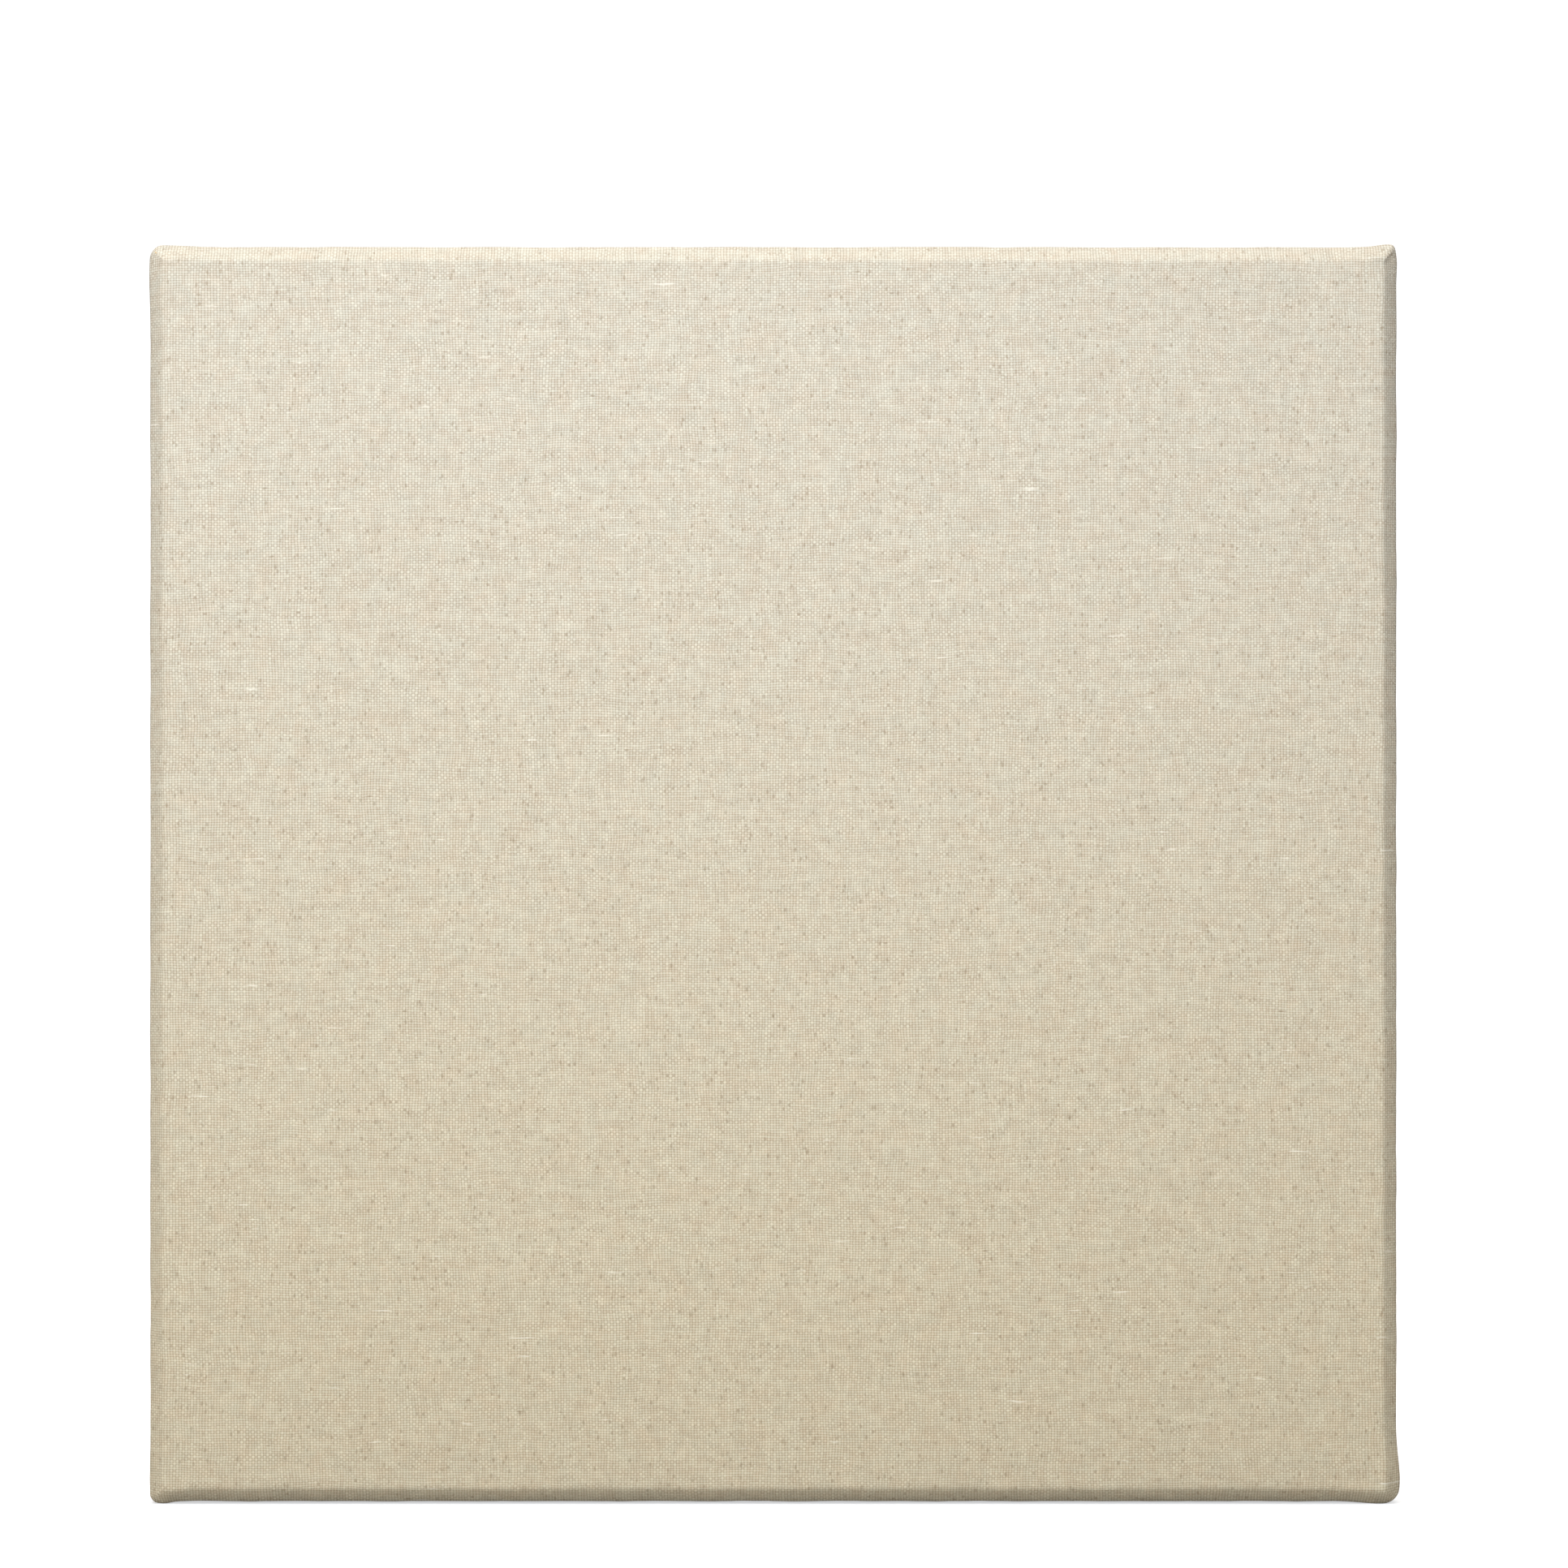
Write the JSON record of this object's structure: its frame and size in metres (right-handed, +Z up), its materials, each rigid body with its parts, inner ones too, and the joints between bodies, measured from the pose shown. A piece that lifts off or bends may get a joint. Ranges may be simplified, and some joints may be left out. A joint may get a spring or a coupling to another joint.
{
  "type": "stretched canvas",
  "caption": "Square linen canvas stretched over a keyed wooden frame and stapled behind, with swivelling D-ring strap hangers screwed to its side bars.",
  "frame": {"origin": "centre of the bottom edge, on its resting face", "axes": "+Z up, +Y out of the back, +X to the right of a person who looks at the painting face"},
  "size_m": [0.304, 0.0227, 0.306],
  "materials": {
    "linen": "unbleached plain-weave linen, clear sized",
    "pine": "planed bare pine",
    "key_wood": "sawn bare hardwood",
    "nickel_strap": "bright nickel plate with fine scratches",
    "nickel_wire": "bright nickel-plated wire",
    "zinc": "bright zinc plate, slightly blue",
    "staple_steel": "galvanised flat wire"
  },
  "bodies": {
    "frame": {"canvas": "linen", "stretcher_bottom": "pine", "stretcher_right": "pine", "stretcher_top": "pine", "stretcher_left": "pine", "staples_bottom": "staple_steel", "staples_right": "staple_steel", "staples_top": "staple_steel", "staples_left": "staple_steel", "screw_left": "zinc", "screw_right": "zinc"},
    "key_bottom_bar_left": {"key_bottom_bar_left": "key_wood"},
    "key_bottom_bar_right": {"key_bottom_bar_right": "key_wood"},
    "key_right_bar_bottom": {"key_right_bar_bottom": "key_wood"},
    "key_right_bar_top": {"key_right_bar_top": "key_wood"},
    "key_top_bar_right": {"key_top_bar_right": "key_wood"},
    "key_top_bar_left": {"key_top_bar_left": "key_wood"},
    "key_left_bar_top": {"key_left_bar_top": "key_wood"},
    "key_left_bar_bottom": {"key_left_bar_bottom": "key_wood"},
    "strap_left": {"strap_left": "nickel_strap"},
    "ring_left": {"ring_left": "nickel_wire"},
    "strap_right": {"strap_right": "nickel_strap"},
    "ring_right": {"ring_right": "nickel_wire"}
  },
  "joints": [
    {"name": "key_bottom_bar_left_slide", "type": "slide", "parent": "frame", "child": "key_bottom_bar_left", "axis": [0, 0, 1], "range_m": [0, 0.014]},
    {"name": "key_bottom_bar_right_slide", "type": "slide", "parent": "frame", "child": "key_bottom_bar_right", "axis": [0, 0, 1], "range_m": [0, 0.014]},
    {"name": "key_right_bar_bottom_slide", "type": "slide", "parent": "frame", "child": "key_right_bar_bottom", "axis": [-1, 0, 0], "range_m": [0, 0.014]},
    {"name": "key_right_bar_top_slide", "type": "slide", "parent": "frame", "child": "key_right_bar_top", "axis": [-1, 0, 0], "range_m": [0, 0.014]},
    {"name": "key_top_bar_right_slide", "type": "slide", "parent": "frame", "child": "key_top_bar_right", "axis": [0, 0, -1], "range_m": [0, 0.014]},
    {"name": "key_top_bar_left_slide", "type": "slide", "parent": "frame", "child": "key_top_bar_left", "axis": [0, 0, -1], "range_m": [0, 0.014]},
    {"name": "key_left_bar_top_slide", "type": "slide", "parent": "frame", "child": "key_left_bar_top", "axis": [1, 0, 0], "range_m": [0, 0.014]},
    {"name": "key_left_bar_bottom_slide", "type": "slide", "parent": "frame", "child": "key_left_bar_bottom", "axis": [1, 0, 0], "range_m": [0, 0.014]},
    {"name": "strap_left_swivel", "type": "hinge", "parent": "frame", "child": "strap_left", "pos_m": [-0.138, 0.0096, 0.2325], "axis": [0, 1, 0], "range_deg": [-90, 90]},
    {"name": "ring_left_swing", "type": "hinge", "parent": "strap_left", "child": "ring_left", "pos_m": [-0.138, 0.01142, 0.2419], "axis": [-1, 0, 0], "range_deg": [0, 180]},
    {"name": "strap_right_swivel", "type": "hinge", "parent": "frame", "child": "strap_right", "pos_m": [0.138, 0.0096, 0.2325], "axis": [0, 1, 0], "range_deg": [-90, 90]},
    {"name": "ring_right_swing", "type": "hinge", "parent": "strap_right", "child": "ring_right", "pos_m": [0.138, 0.01142, 0.2419], "axis": [-1, 0, 0], "range_deg": [0, 180]}
  ]
}
